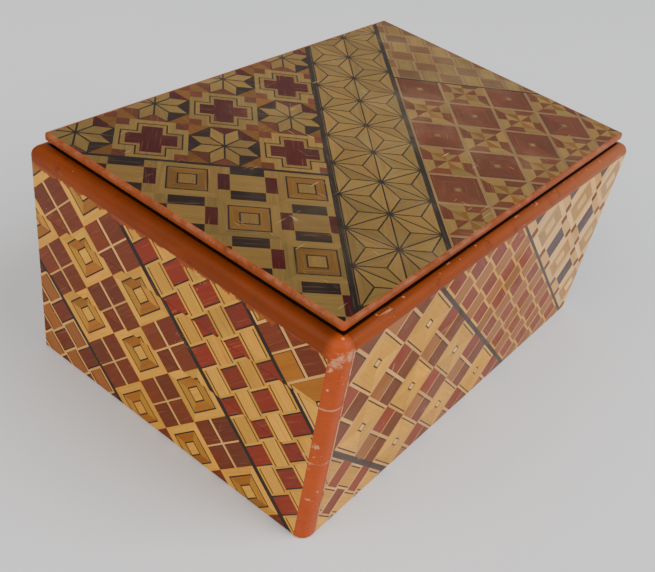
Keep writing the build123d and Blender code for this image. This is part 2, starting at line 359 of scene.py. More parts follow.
def stained_finish(name, colours, run):
    """Orange-stained wood with its grain along one axis. run marks the axes that cross the grain."""
    f = Finish(name)
    x, y, z = f.axes()
    fibres = f.noise(across(run, 2600, 90), 4.0, 0.6, 0.2)
    bands = f.noise(across(run, 240, 12), 3.0, 0.6, 0.5)
    cloud = f.noise(60, 4.0, 0.6)
    wood = f.mix(bands * 0.8 + fibres * 0.5 - 0.25, colours.stain_dark, colours.stain)
    wood = f.shade(wood, 0.78 + cloud * 0.44)
    corner = x.ramp(-0.0705, -0.0735) * y.ramp(-0.0465, -0.0495)
    patches = f.noise((110, 45, 110), 3.0, 0.6).ramp(0.46, 0.62)
    # Painted shade: end_rim darkens the stain on the rim over the sliding strips, less towards the back and
    # in patches.
    end_rim = x.ramp(-0.0725, -0.0745) * (1 - corner) * (0.95 - y.ramp(0.0, 0.05) * 0.4 - patches * 0.3)
    wood = f.mix(end_rim, wood, f.shade(colours.stain_end, 0.5 + cloud * 0.5 + bands * 0.5))
    wood = f.mix(corner * 0.6, wood, f.shade(colours.stain_corner, 0.6 + cloud * 0.4 + fibres * 0.4))
    rubbed = f.noise((150, 150, 190), 5.0, 0.75)
    # lid_edge is rubbed wear along the lid's top edge, partly a painted highlight; the x ramp lightens the
    # stain towards the far end.
    lid_edge = z.ramp(0.0706, 0.0716) * (0.03 + rubbed.ramp(0.40, 0.70) * 0.22)
    wood = f.mix(lid_edge.either(x.ramp(-0.04, 0.09) * 0.14), wood, colours.chip)
    post_top = corner * z.ramp(0.0612, 0.0624) * z.ramp(0.0668, 0.0655)
    low_saw, high_saw = (z.near(height, 0.0004, 0.0001) for height in SAW_LINES)
    post_seam = x.near(-0.0713, 0.0004, 0.0002) * y.ramp(-0.0495, -0.0510) * z.ramp(GAP_FOOT, 0.0650)
    seam = (corner * low_saw.either(high_saw)).either(post_seam) * rubbed.ramp(0.38, 0.52)
    spots = rubbed.ramp(0.69, 0.71).either(corner * rubbed.ramp(0.63, 0.65))
    spots = spots.either(post_top * rubbed.ramp(0.50, 0.58))
    marks = scratches(f, across(run, 2400, 60))
    rim_line = y.near(-0.0494, 0.0009, 0.0005) * z.ramp(0.0690, 0.0680)
    specks = f.noise(520, 1.0).ramp(0.66, 0.70) * rim_line
    wood = f.mix(spots.either(marks).either(seam).either(specks) * 0.7, wood, colours.chip)
    dirt = f.noise(260, 4.0, 0.7).ramp(0.56, 0.72)
    wood = f.mix(dirt * 0.4, wood, srgb(70, 22, 6))
    # Painted shadow: the gap under the lid and the rim's edge below it are painted near black.
    gap = (abs(y) - GAP_HALF_WIDTH).ramp(0.0003, -0.0001) * (abs(x) - GAP_HALF_LENGTH).ramp(0.0003, -0.0002)
    gap = gap * z.ramp(0.0655, GAP_FOOT) * z.ramp(GAP_TOP, 0.0700)
    wood = f.mix(gap * 0.96, wood, srgb(14, 7, 4))
    inside = abs(y).ramp(0.0464, 0.0461) * abs(x).ramp(0.0716, 0.0712)
    joint = x.ramp(-0.07115, -0.07105) * x.ramp(-0.0706, -0.0709)
    joint = joint * abs(y).ramp(0.0512, 0.0508) * z.ramp(0.0678, 0.0672)
    bare = f.shade(colours.softwood, 0.6 + fibres * 0.34 + bands * 0.30)
    wood = f.mix(inside.either(joint) * (1 - gap), wood, bare)
    roughness = 0.40 + cloud * 0.18 + spots * 0.25
    return f.finish(wood, roughness, 0.06 - spots * 0.06, fibres * 0.5 - spots, 0.00006, 0.1)


def plain_finish(name, colours, tone, run, fineness):
    """Bare wood with its grain along one axis, painted near black as shadow under the lid, and stained at the
    far end.
    """
    f = Finish(name)
    x, y, z = f.axes()
    fibres = f.noise(across(run, fineness, fineness / 30), 4.0, 0.6, 0.3)
    bands = f.noise(across(run, fineness / 9, fineness / 260), 2.0, 0.5, 0.7)
    stain = f.noise(40, 3.0).ramp(0.5, 0.8)
    wood = f.shade(tone, 0.66 + fibres * 0.34 + bands * 0.30)
    wood = f.mix(stain * 0.2, wood, srgb(126, 90, 56))
    # Painted shadow: the parts under the lid's gap are painted near black.
    gap = x.ramp(-0.0690, -0.0698).either(abs(y).ramp(0.0464, 0.0470)) * z.ramp(0.0645, GAP_FOOT)
    wood = f.mix(gap * 0.94, wood, srgb(20, 12, 8))
    wood = f.mix(x.ramp(0.0724, 0.0732), wood, f.shade(colours.stain, 0.6 + fibres * 0.4))
    return f.finish(wood, 0.62 + fibres * 0.2, 0.0, fibres, 0.00005)


def floor_finish(name, colours):
    """A pale matt surface with a faint unevenness."""
    f = Finish(name)
    cloud = f.noise(5, 3.0, 0.5)
    weave = f.noise(900, 2.0, 0.5)
    tone = f.shade(colours.floor, 0.94 + cloud * 0.10 + weave * 0.02)
    return f.finish(tone, 0.72 + weave * 0.1, 0.0, weave, 0.00004)


# Motifs
# A motif is a list of tiles, in millimetres about the middle of its cell. A tile is (corners, wood, grain),
# with its corners in turn, anticlockwise, and the direction of its grain in degrees. A later tile lies over
# an earlier one.


def rectangle(u0, u1, v0, v1):
    """Four corners, in turn anticlockwise."""
    return [(u0, v0), (u1, v0), (u1, v1), (u0, v1)]


def bar(u0, v0, u1, v1, wood, grain=ALONG_U):
    return (rectangle(u0, u1, v0, v1), wood, grain)


def block(width, height, wood, grain=ALONG_U, at=(0.0, 0.0)):
    u, v = at
    return bar(u - width / 2, v - height / 2, u + width / 2, v + height / 2, wood, grain)


def mitred(width, height, level, upright):
    """A block of four triangles that meet in the middle, grain along each side."""
    u, v = width / 2, height / 2
    return [
        ([(0, 0), (-u, -v), (u, -v)], level, ALONG_U),
        ([(0, 0), (u, v), (-u, v)], level, ALONG_U),
        ([(0, 0), (u, -v), (u, v)], upright, ALONG_V),
        ([(0, 0), (-u, v), (-u, -v)], upright, ALONG_V),
    ]


def turned(tiles, degrees):
    """The tiles turned about the middle of their cell."""
    angle = math.radians(degrees)
    c, s = math.cos(angle), math.sin(angle)
    return [
        ([(u * c - v * s, u * s + v * c) for u, v in corners], wood, grain + degrees)
        for corners, wood, grain in tiles
    ]


def corner_tiles(cell, small, wood, grain):
    """A small tile in each corner of a cell."""
    return [
        block(small, small, wood, grain, (u * (cell[0] - small) / 2, v * (cell[1] - small) / 2))
        for u in (-1, 1)
        for v in (-1, 1)
    ]


def inset(corners, distance):
    """A convex outline moved inwards by a distance."""
    moved = []
    count = len(corners)
    for i in range(count):
        before, here, after = (Vector(corners[(i + k) % count]) for k in (-1, 0, 1))
        first = (here - before).normalized()
        second = (after - here).normalized()
        inwards = [Vector((-d.y, d.x)) * distance for d in (first, second)]
        turn = first.x * second.y - first.y * second.x
        gap = (here + inwards[1]) - (here + inwards[0])
        along = (gap.x * second.y - gap.y * second.x) / turn
        moved.append(tuple(here + inwards[0] + first * along))
    return moved


def nested_squares(cell, line, frame_wood, level, upright, core, outer=10.4, inner=4.5, outline="line"):
    """A square in a dark outline, in a mitred ring, in a dark outline, in a pale frame."""
    return [
        *mitred(*cell, frame_wood, frame_wood),
        block(outer, outer, outline),
        *mitred(outer - 2 * line, outer - 2 * line, level, upright),
        block(inner, inner, outline),
        block(inner - 2 * line, inner - 2 * line, core),
    ]


def four_squares(cell, line, woods):
    """Four tiles with a pale strip between them each way, and a fine dark line beside each strip."""
    u, v = cell[0] / 2, cell[1] / 2
    left, right, below, above = -0.45 - line, 0.45, -0.25 - line * 0.4, 0.25
    below_left, below_right, above_left, above_right = woods
    return [
        block(*cell, "line"),
        bar(-u, -v, left, below, below_left),
        bar(right, -v, u, below, below_right),
        bar(-u, above, left, v, above_left),
        bar(right, above, u, v, above_right),
        bar(-u, -above, u, above, "strip"),
        bar(-right, -v, right, v, "strip", ALONG_V),
    ]


def brick(cell, wood, strip_wood, strip, line, upright=False):
    """A tile between two strips, with a fine dark line inside each. Its strips are level, or upright."""
    width, height = cell
    if upright:
        width, height = height, width
    tiles = [
        block(width, height, strip_wood),
        block(width, height - 2 * strip, "line"),
        block(width, height - 2 * strip - 2 * line, wood),
    ]
    return turned(tiles, 90) if upright else tiles


def eye_square(cell, line, strip, wood_level, wood_upright):
    """A big mitred tile with a small outlined eye, fine lines on its upright sides, and a pale strip."""
    width, height = cell
    eye = (2.5, 3.0)
    return [
        block(width, height, "strip"),
        block(width - 2 * strip, height - 2 * strip, "line"),
        *mitred(width - 2 * strip - 2 * line, height - 2 * strip - line * 0.5, wood_level, wood_upright),
        block(*eye, "line"),
        block(eye[0] - 2.2 * line, eye[1] - 2.2 * line, "cream"),
    ]


def eight_point_star(cell):
    """Eight pale rhombi round the middle, dark triangles between their tips, and tan corners."""
    tip, side, notch, deep, seam = 0.985, 0.41, 0.655, 0.43, 0.25
    tiles = [block(*cell, "old_line")]
    darks = ("maroon", "ink", "brick", "ink")
    corner = [(tip, side), (1, side), (1, 1), (side, 1), (side, tip)]
    pale = [
        ([(0, 0), (notch, 0), (tip, side), (deep, deep)], "straw", 22.5),
        ([(0, 0), (deep, deep), (side, tip), (0, notch)], "straw", 67.5),
    ]
    for quarter in range(4):
        group = [
            (corner, "old_orange", 45.0),
            ([(notch, 0), (1, -side), (1, side)], darks[quarter], ALONG_U),
            ([(deep, deep), (tip, side), (side, tip)], darks[(quarter + 1) % 4], ALONG_V),
        ]
        tiles += stretched(turned(group, 90 * quarter), cell)
        rhombi = stretched(turned(pale, 90 * quarter), cell)
        tiles += [(inset(corners, seam), wood, grain) for corners, wood, grain in rhombi]
    return tiles


def stretched(tiles, cell):
    """Tiles drawn between -1 and 1, stretched to fill their cell."""
    u, v = cell[0] / 2, cell[1] / 2
    return [([(a * u, b * v) for a, b in corners], wood, grain) for corners, wood, grain in tiles]


def outlined_cross(cell, line):
    """A maroon cross in a pale outline and a fine dark line, with a small tile in each corner of the cell."""
    tiles = [block(*cell, "straw")]
    crosses = ((7.2 + 2 * line, 15.5 + 2 * line, "old_line"), (7.2, 15.5, "straw"), (5.4, 13.2, "maroon"))
    for width, reach, wood in crosses:
        tiles.append(block(reach, width, wood))
        for side in (1, -1):
            tiles.append(block(width, (reach - width) / 2, wood, ALONG_V, (0, side * (reach + width) / 4)))
    return tiles + corner_tiles(cell, 3.4, "brick", 45.0)


def barred_square(cell, side_wood, end_wood):
    """A pale tile with a dark bar on each side and a red bar above and below."""
    width, height, side_bar, end_bar = 7.4, 8.7, 4.0, 3.0
    u, v = (cell[0] - side_bar) / 2, (cell[1] - end_bar) / 2
    return [
        block(*cell, "straw"),
        *(block(side_bar, height, side_wood, ALONG_V, (at, 0)) for at in (-u, u)),
        *(block(width, end_bar, end_wood, ALONG_U, (0, at)) for at in (v, -v)),
        block(width, height, "straw", ALONG_V),
    ]


def red_square(cell, line):
    """A red tile with a thin dark edge and a very small outlined eye, in pale strips."""
    strip = 0.7
    return [
        block(*cell, "old_strip"),
        block(cell[0] - 2 * strip, cell[1] - 2 * strip, "old_line"),
        *mitred(cell[0] - 2 * strip - line, cell[1] - 2 * strip - line, "brick", "brick"),
        block(2.2, 2.2, "old_brown", 45.0),
        block(1.3, 1.3, "old_strip"),
    ]


def pinwheel(cell):
    """A ring of eight mitred pieces, pale and red in turn, round four squares split across."""
    u, core = cell[0] / 2 - 0.35, 4.1
    tiles = [block(*cell, "old_strip")]
    ring = [
        ([(-u, -u), (0, -u), (0, -core), (-core, -core)], "brick", ALONG_U),
        ([(0, -u), (u, -u), (core, -core), (0, -core)], "straw", ALONG_U),
    ]
    for quarter in range(4):
        split = [
            ([(0, 0), (core, 0), (core, core)], ("old_orange", "brick")[quarter % 2], 45.0),
            ([(0, 0), (core, core), (0, core)], "straw", 45.0),
        ]
        tiles += turned(ring + split, 90 * quarter)
    return tiles


def hemp_leaf(pitch, height, line):
    """Two triangles of the hemp leaf lattice, each cut into three from its middle."""
    tiles = []
    shapes = (
        [(0, 0), (pitch, 0), (pitch / 2, height)],
        [(pitch / 2, height), (pitch, 0), (pitch * 1.5, height)],
    )
    for shape in shapes:
        middle = tuple(sum(c) / 3 for c in zip(*shape))
        for k in range(3):
            first, second = shape[k], shape[(k + 1) % 3]
            grain = math.degrees(math.atan2(second[1] - first[1], second[0] - first[0]))
            tiles.append((inset([middle, first, second], line / 2), "straw", grain))
    return tiles


def banded_square(cell):
    """A tan ring round a pale square, in a cream frame, with no lines."""
    return [
        *mitred(*cell, "cream", "cream"),
        *mitred(11.2, 11.0, "dun", "dun"),
        block(4.8, 4.6, "cream"),
    ]


def cornered_square(cell):
    """A purple-grey tile in a cream frame with a small brown tile in each corner."""
    corners = corner_tiles(cell, 3.0, "russet", ALONG_U)
    return [*mitred(*cell, "cream", "strip"), block(8.7, 8.4, "plum"), *corners]


# Layouts
# A sheet's layout is a list of regions in the lattice's own directions, which lie at 45 degrees to its sides:
# u to the upper right and v to the upper left, in millimetres from the face's lower left corner.
# A region is (u from, u to, v from, v to, ground wood, lattices). A lattice is
# (motif, pitch, middle of one cell, which cells: 0 even, 1 odd, 2 all, shift of odd rows).


def band(u0, u1, ground, lattices=()):
    """A region that runs the whole way along v."""
    return (u0, u1, -FAR, FAR, ground, lattices)


def checker(pitch, middle, first, second, cells=0):
    """Two motifs that take turns. cells says which cells the first has: 0 even, 1 odd."""
    return [(first, pitch, middle, cells, 0), (second, pitch, middle, 1 - cells, 0)]


def end_layout(line, shift=0.0):
    """The end: a basket, squares and four-square cells, a basket, and cells again, with lines."""
    low_weave, square, weave, big = (7.25, 7.6), (14.73, 14.97), (7.075, 7.5), (15.0, 15.0)
    low, mid, basket, corner = (
        (u, v + shift) for u, v in ((20.4, -1.0), (32.77, -56.8), (74.74, -46.7), (108.3, -19.9))
    )
    return [
        band(-FAR, 24.0, "pale", checker(
            low_weave, low,
            brick(low_weave, "russet", "strip", 0.65, line),
            brick(low_weave, "tan", "strip", 0.7, line, True), 1,
        )),
        band(24.0, 25.4, "line"),
        band(25.4, 69.6, "pale", checker(
            square, mid,
            nested_squares(square, line, "pale", "orange", "honey", "pale"),
            four_squares(square, line, ("russet", "brown", "brown", "russet")),
        )),
        band(69.6, 71.2, "line"),
        band(71.2, 99.5, "pale", checker(
            weave, basket,
            brick(weave, "red", "pale", 0.65, line),
            brick(weave, "pale", "pale", 0.75, line, True),
        )),
        band(99.5, 100.8, "line"),
        band(100.8, FAR, "pale", checker(
            big, corner,
            four_squares(big, line, ("orange", "russet", "brown", "russet")),
            eye_square(big, line, 0.7, "orange", "pale"),
        )),
    ]


def side_layout(line, shift=0.0):
    """The long side: a basket, eyed squares and four-square cells, a basket, and squares, with lines."""
    weave, square, red_weave, big = (7.75, 7.8), (15.53, 15.55), (7.275, 7.75), (15.3, 15.4)
    low, mid, basket, last = (
        (u, v + shift) for u, v in ((21.1, -2.0), (50.1, 27.0), (78.44, 10.3), (112.7, -32.0))
    )
    return [
        band(-FAR, 25.0, "pale", checker(
            weave, low,
            brick(weave, "red", "strip", 0.9, line),
            brick(weave, "pale", "strip", 0.6, line, True), 1,
        )),
        band(25.0, 26.8, "slate"),
        band(26.8, 73.4, "pale", checker(
            square, mid,
            eye_square(square, line, 0.7, "pale", "pale"),
            four_squares(square, line, ("russet", "brown", "tan", "red")),
        )),
        band(73.4, 74.8, "slate"),
        band(74.8, 103.9, "strip", checker(
            red_weave, basket,
            brick(red_weave, "red", "pale", 0.8, 0.12, True),
            brick(red_weave, "tan", "strip", 0.75, 0.10),
        )),
        band(103.9, 105.0, "slate"),
        band(105.0, FAR, "cream", checker(big, last, banded_square(big), cornered_square(big))),
    ]


def lid_layout(line, leaf_line):
    """The lid: stars and crosses, squares, the hemp leaf band, red squares and pinwheels, and a basket."""
    star, square, red, weave = (19.75, 18.8), (15.55, 14.95), (14.9, 15.0), (6.9, 7.2)
    star_at, square_at, red_at, weave_at = (71.0, 62.0), (53.3, 33.8), (59.3, -37.9), (129.2, -36.0)
    leaf, leaf_at = (15.35, 12.4), (29.2, -16.6)
    return [
        (61.4, FAR, -2.4, FAR, "straw", checker(
            star, star_at,
            eight_point_star(star),
            outlined_cross(star, line),
        )),
        (60.4, 61.4, -2.4, FAR, "old_line", []),
        (-FAR, 60.4, -2.4, FAR, "straw", checker(
            square, square_at,
            nested_squares(square, line, "straw", "old_tan", "old_tan", "straw", 10.4, 5.0, "old_line"),
            barred_square(square, "ink", "maroon"),
        )),
        (-FAR, FAR, -3.9, -2.4, "old_line", []),
        (-FAR, FAR, -29.1, -3.9, "old_line", [(hemp_leaf(*leaf, leaf_line), leaf, leaf_at, 2, leaf[0] / 2)]),
        (-FAR, FAR, -30.4, -29.1, "old_line", []),
        (-FAR, 125.0, -FAR, -30.4, "old_strip", checker(red, red_at, red_square(red, line), pinwheel(red))),
        (125.0, 125.8, -FAR, -30.4, "ink", []),
        (125.8, FAR, -FAR, -30.4, "straw", checker(
            weave, weave_at,
            brick(weave, "old_brown", "old_strip", 0.8, 0.14, True),
            brick(weave, "straw", "old_strip", 1.0, 0.14),
        )),
    ]


# Lattices


def new_object(name, data):
    """A new object in the scene."""
    made = bpy.data.objects.new(name, data)
    bpy.context.scene.collection.objects.link(made)
    return made


def lattice_tree():
    """The tree that lays a motif out on a lattice, in whole or in a checker."""
    tree = bpy.data.node_groups.new("lattice", "GeometryNodeTree")
    tree.interface.new_socket("Geometry", in_out="OUTPUT", socket_type="NodeSocketGeometry")
    inputs = {"Motif": "Object", "Columns": "Int", "Rows": "Int", "Start": "Vector", "Pitch": "Vector"}
    inputs.update({"Row Shift": "Float", "Checker": "Int", "Seed": "Int", "Wood": "Material"})
    for name, kind in inputs.items():
        tree.interface.new_socket(name, in_out="INPUT", socket_type=f"NodeSocket{kind}")
    given = add_node(tree, "NodeGroupInput")
    motif, columns, rows, start, pitch, row_shift, checker, seed, wood = (given[name] for name in inputs)

    def node(kind, settings=None, sockets=None, output=0):
        return add_node(tree, kind, settings, sockets)[output]

    def whole(operation, first, second):
        return node("FunctionNodeIntegerMath", {"operation": operation}, {0: first, 1: second})

    def vectors(operation, first, second):
        return node("ShaderNodeVectorMath", {"operation": operation}, {0: first, 1: second})

    def equal(first, second):
        return node("FunctionNodeCompare", {"data_type": "INT", "operation": "EQUAL"}, {2: first, 3: second})

    index = node("GeometryNodeInputIndex")
    column = whole("MODULO", index, columns)
    row = whole("DIVIDE_FLOOR", index, columns)
    steps = node("ShaderNodeCombineXYZ", None, {0: column, 1: row})
    odd_row = whole("FLOORED_MODULO", row, 2)
    shifted = node("ShaderNodeMath", {"operation": "MULTIPLY"}, {0: odd_row, 1: row_shift})
    aside = node("ShaderNodeCombineXYZ", None, {0: shifted})
    place = vectors("ADD", vectors("ADD", vectors("MULTIPLY", steps, pitch), aside), start)
    count = whole("MULTIPLY", columns, rows)
    points = node("GeometryNodePoints", None, {"Count": count, "Position": place})
    parity = whole("FLOORED_MODULO", whole("ADD", column, row), 2)
    either = {0: equal(parity, checker), 1: equal(checker, 2)}
    chosen = node("FunctionNodeBooleanMath", {"operation": "OR"}, either)
    shape = node("GeometryNodeObjectInfo", None, {"Object": motif}, "Geometry")
    placed = {"Points": points, "Selection": chosen, "Instance": shape}
    real = node("GeometryNodeRealizeInstances", None, {0: node("GeometryNodeInstanceOnPoints", None, placed)})
    chance = node("FunctionNodeRandomValue", {"data_type": "FLOAT"}, {"Seed": seed}, 1)
    stored = {"Geometry": real, "Name": "lot", "Value": chance}
    lot = node("GeometryNodeStoreNamedAttribute", {"data_type": "FLOAT", "domain": "FACE"}, stored)
    done = node("GeometryNodeSetMaterial", None, {0: lot, "Material": wood})
    tree.links.new(done, tree.nodes.new("NodeGroupOutput").inputs[0])
    return tree


def motif_object(tiles):
    """A motif as an object: one face for each tile, with its wood's number and its grain."""
    corners, faces = [], []
    for shape, _, _ in tiles:
        faces.append(list(range(len(corners), len(corners) + len(shape))))
        corners += [(u, v, 0.0) for u, v in shape]
    mesh = bpy.data.meshes.new("motif")
    mesh.from_pydata(corners, [], faces)
    mesh.attributes.new("wood", "INT", "FACE")
    mesh.attributes.new("grain", "FLOAT", "FACE")
    wood, grain = mesh.attributes["wood"], mesh.attributes["grain"]
    for number, (_, name, degrees) in enumerate(tiles):
        wood.data[number].value = WOOD_NUMBER[name]
        grain.data[number].value = degrees
    return new_object("motif", mesh)


def lay_out(tree, tiles, pitch, middle, checker, row_shift, window, seed, material):
    """The tiles of one lattice over a window (u from, u to, v from, v to), as (corners, wood, grain, lot)."""
    first, count = [], []
    for low, high, at, step in zip(window[::2], window[1::2], middle, pitch):
        first.append(math.floor((low - at) / step) - 1)
        count.append(math.ceil((high - at) / step) + 1 - first[-1])
    if row_shift and first[1] % 2:
        first[1] -= 1
        count[1] += 1
    if checker < 2:
        checker = (checker + sum(first)) % 2
    motif = motif_object(tiles)
    holder = new_object("lattice", bpy.data.meshes.new("lattice"))
    modifier = holder.modifiers.new("lattice", "NODES")
    modifier.node_group = tree
    values = {
        "Motif": motif,
        "Columns": count[0],
        "Rows": count[1],
        "Start": (middle[0] + first[0] * pitch[0], middle[1] + first[1] * pitch[1], 0.0),
        "Pitch": (*pitch, 0.0),
        "Row Shift": row_shift,
        "Checker": checker,
        "Seed": seed,
        "Wood": material,
    }
    for socket in tree.interface.items_tree:
        if socket.in_out == "INPUT":
            modifier[socket.identifier] = values[socket.name]
    graph = bpy.context.evaluated_depsgraph_get()
    laid = holder.evaluated_get(graph)
    mesh = bpy.data.meshes.new_from_object(laid, preserve_all_data_layers=True, depsgraph=graph)
    wood, grain, lot = (mesh.attributes[name].data for name in ("wood", "grain", "lot"))
    found = []
    for face in mesh.polygons:
        corners = [tuple(mesh.vertices[i].co[:2]) for i in face.vertices]
        found.append((corners, wood[face.index].value, grain[face.index].value, lot[face.index].value))
    bpy.data.objects.remove(holder)
    bpy.data.objects.remove(motif)
    bpy.data.meshes.remove(mesh)
    return found


def trimmed(corners, window):
    """A convex shape cut to a window (u from, u to, v from, v to)."""
    for number, limit in enumerate(window):
        axis, side = number // 2, 1 - number % 2 * 2
        kept = []
        for i, here in enumerate(corners):
            before = corners[i - 1]
            inside_here = (here[axis] - limit) * side >= 0
            inside_before = (before[axis] - limit) * side >= 0
            if inside_here != inside_before:
                share = (limit - before[axis]) / (here[axis] - before[axis])
                kept.append(tuple(b + (h - b) * share for b, h in zip(before, here)))
            if inside_here:
                kept.append(here)
        corners = kept
        if len(corners) < 3:
            return []
    return corners


# Sheets


def covers(corners, point):
    """Whether a convex shape, its corners in turn anticlockwise, covers a point."""
    for i, (u, v) in enumerate(corners):
        before_u, before_v = corners[i - 1]
        if (u - before_u) * (point.y - before_v) < (v - before_v) * (point.x - before_u):
            return False
    return True


class Face:
    """One outside face of the box: its lower left corner, and its directions right, up and outwards."""

    def __init__(self, corner, right, up):
        self.corner = Vector(corner) * MM
        self.right = Vector(right)
        self.up = Vector(up)
        self.out = self.right.cross(self.up)

    def point(self, a, b, depth):
        """A point, from millimetres on the face and below it."""
        return self.corner + (self.right * a + self.up * b - self.out * depth) * MM

    def spot(self, point):
        """A point in metres, as millimetres to the right and up on the face."""
        offset = Vector(point) - self.corner
        return offset.dot(self.right) / MM, offset.dot(self.up) / MM


def bulge(radius, depth):
    """How far a rounded edge stands out at a depth below the flat."""
    reach = max(radius - depth, 0.0)
    return math.sqrt(max(radius * radius - reach * reach, 0.0))


def cut_tiles(outline, notches, layout, seed, material, lift):
    """The flat pieces of a sheet: corners in face millimetres, and for each piece its corners and its tile.
    lift raises the pattern by what the saw took below this sheet. notches are blocks cut out of the sheet."""
    tree = bpy.data.node_groups.get("lattice") or lattice_tree()

    def to_lattice(a, b):
        return ((a + b + lift) / ROOT2, (b + lift - a) / ROOT2)

    border = [to_lattice(a, b) for a, b in outline]
    reach = [f(p[axis] for p in border) for axis in (0, 1) for f in (min, max)]
    shapes = [(border, None)]
    for number, (u0, u1, v0, v1, ground, lattices) in enumerate(layout):
        window = (max(u0, reach[0]), min(u1, reach[1]), max(v0, reach[2]), min(v1, reach[3]))
        if window[0] >= window[1] or window[2] >= window[3]:
            continue
        slant = ALONG_V if v1 - v0 > u1 - u0 else ALONG_U
        shapes.append((rectangle(*window), (WOOD_NUMBER[ground], slant, 0.5, number)))
        for order, (tiles, pitch, middle, cells, shift) in enumerate(lattices):
            lot_seed = seed + 31 * number + 7 * order
            laid = lay_out(tree, tiles, pitch, middle, cells, shift, window, lot_seed, material)
            for corners, wood, grain, lot in laid:
                corners = trimmed(corners, window)
                if corners:
                    shapes.append((corners, (wood, grain, lot, len(shapes))))
    for notch in notches:
        shapes.append(([to_lattice(*c) for c in rectangle(*notch)], None))
    points, edges = [], []
    for corners, _ in shapes:
        numbers = list(range(len(points), len(points) + len(corners)))
        edges += zip(numbers, numbers[1:] + numbers[:1])
        points += [Vector(c) for c in corners]
    points, _, pieces, _, _, _ = delaunay_2d_cdt(points, edges, [], 0, JOIN)
    bins = {}
    for number, (corners, _) in enumerate(shapes):
        sides = [(min(values), max(values)) for values in zip(*corners)]
        low_bin, high_bin = zip(*([math.floor(value / BIN) for value in side] for side in sides))
        for i in range(low_bin[0], high_bin[0] + 1):
            for j in range(low_bin[1], high_bin[1] + 1):
                bins.setdefault((i, j), []).append(number)
    kept = []
    for piece in pieces:
        middle = sum((points[i] for i in piece), Vector((0, 0))) / len(piece)
        near = bins.get((math.floor(middle.x / BIN), math.floor(middle.y / BIN)), ())
        if not near or near[0] != 0 or not covers(border, middle):
            continue
        top = next((n for n in reversed(near) if covers(shapes[n][0], middle)), 0)
        if shapes[top][1]:
            kept.append((piece, shapes[top][1]))
    used = sorted({corner for piece, _ in kept for corner in piece})
    renumber = {old: new for new, old in enumerate(used)}
    spots = [((p.x - p.y) / ROOT2, (p.x + p.y) / ROOT2 - lift) for p in (points[i] for i in used)]
    return spots, [([renumber[c] for c in piece], tile) for piece, tile in kept]


def sheet_outline(face, node, rounds):
    """The flat outline of a veneer, in face millimetres, from the box of its CAD node."""
    low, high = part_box(node)
    spots = (face.spot(low), face.spot(high))
    a0, a1 = sorted(spot[0] for spot in spots)
    b0, b1 = sorted(spot[1] for spot in spots)
    left, right, lower, upper = (bulge(radius, SHEET) for radius in rounds)
    return rectangle(a0 + left, a1 - right, b0 + lower, b1 - upper)


def tile_look(tile, woods, seed):
    """A tile's own colour, with the place and the turn of its grain."""
    wood, grain, lot, _ = tile
    chance = random.Random(seed)
    light = 1 + (lot - 0.5) * LIGHT_SPREAD
    warm = 1 + chance.uniform(-WARM_SPREAD, WARM_SPREAD)
    red, green, blue = woods[wood]
    shift = (chance.uniform(0, 0.5), chance.uniform(0, 0.5))
    angle = math.radians(grain + chance.uniform(-TURN_SPREAD, TURN_SPREAD))
    return (red * light * warm, green * light, blue * light / warm, 1.0), shift, angle


def sheet_mesh(name, face, outline, rounds, spots, pieces):
    """A closed mesh of the pieces, the tile of each of its faces, and its corners in face millimetres."""
    edges = {}
    for piece, tile in pieces:
        for here, after in zip(piece, piece[1:] + piece[:1]):
            edges[(here, after)] = tile
    border = [(edge, tile) for edge, tile in edges.items() if (edge[1], edge[0]) not in edges]
    rim = sorted({corner for edge, _ in border for corner in edge})
    low, high = ([f(p[axis] for p in outline) for axis in (0, 1)] for f in (min, max))

    def spread(spot, depth):
        a, b = spot
        left, right, lower, upper = (bulge(radius, depth) for radius in rounds)
        a += right * (a > high[0] - SLACK) - left * (a < low[0] + SLACK)
        b += upper * (b > high[1] - SLACK) - lower * (b < low[1] + SLACK)
        return a, b, depth

    corners = [(a, b, 0.0) for a, b in spots]
    rings = [{c: c for c in rim}]
    for depth in EDGE_DEPTHS:
        rings.append({c: len(corners) + i for i, c in enumerate(rim)})
        corners += [spread(spots[c], depth) for c in rim]
    under = dict(rings[-1])
    for c in range(len(spots)):
        if c not in under:
            under[c] = len(corners)
            corners.append((*spots[c], SHEET))
    faces = list(pieces)
    for outer, inner in zip(rings, rings[1:]):
        faces += [([outer[b], outer[a], inner[a], inner[b]], tile) for (a, b), tile in border]
    faces += [([under[c] for c in reversed(piece)], tile) for piece, tile in pieces]
    mesh = bpy.data.meshes.new(name)
    mesh.from_pydata([face.point(*corner) for corner in corners], [], [f for f, _ in faces])
    return mesh, [tile for _, tile in faces], corners


